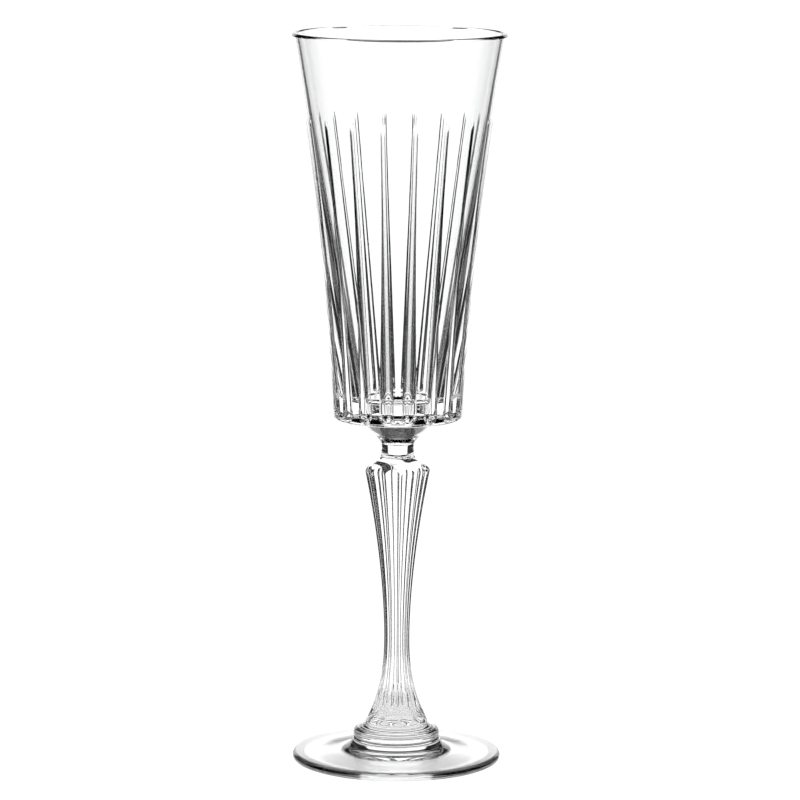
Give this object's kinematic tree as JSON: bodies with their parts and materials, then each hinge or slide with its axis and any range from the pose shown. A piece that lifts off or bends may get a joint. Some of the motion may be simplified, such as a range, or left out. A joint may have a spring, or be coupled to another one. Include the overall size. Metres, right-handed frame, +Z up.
{
  "type": "champagne flute",
  "caption": "Tall clear crystal champagne flute: fluted tapering bowl on a thick base, short smooth neck, cut waisted stem, pedestal collar and round foot.",
  "frame": {"origin": "middle of the foot's flat underside, on the surface that the glass stands on", "axes": "+Z up along the axis that every piece is turned about; -Y faces the viewer and passes through a ridge between two of the bowl's flutes; +X to the viewer's right"},
  "size_m": [0.07, 0.07, 0.24],
  "materials": {
    "bowl_glass": "fire-polished colourless crystal, cut flutes polished clear",
    "neck_collar_glass": "fire-polished colourless crystal",
    "stem_glass": "colourless crystal, cut flutes polished clear",
    "pedestal_collar_glass": "fire-polished colourless crystal",
    "foot_glass": "fire-polished colourless crystal, resting face lightly ground"
  },
  "bodies": {
    "root": {"bowl": "bowl_glass", "neck_collar": "neck_collar_glass", "stem": "stem_glass", "pedestal_collar": "pedestal_collar_glass", "foot": "foot_glass"}
  },
  "joints": []
}
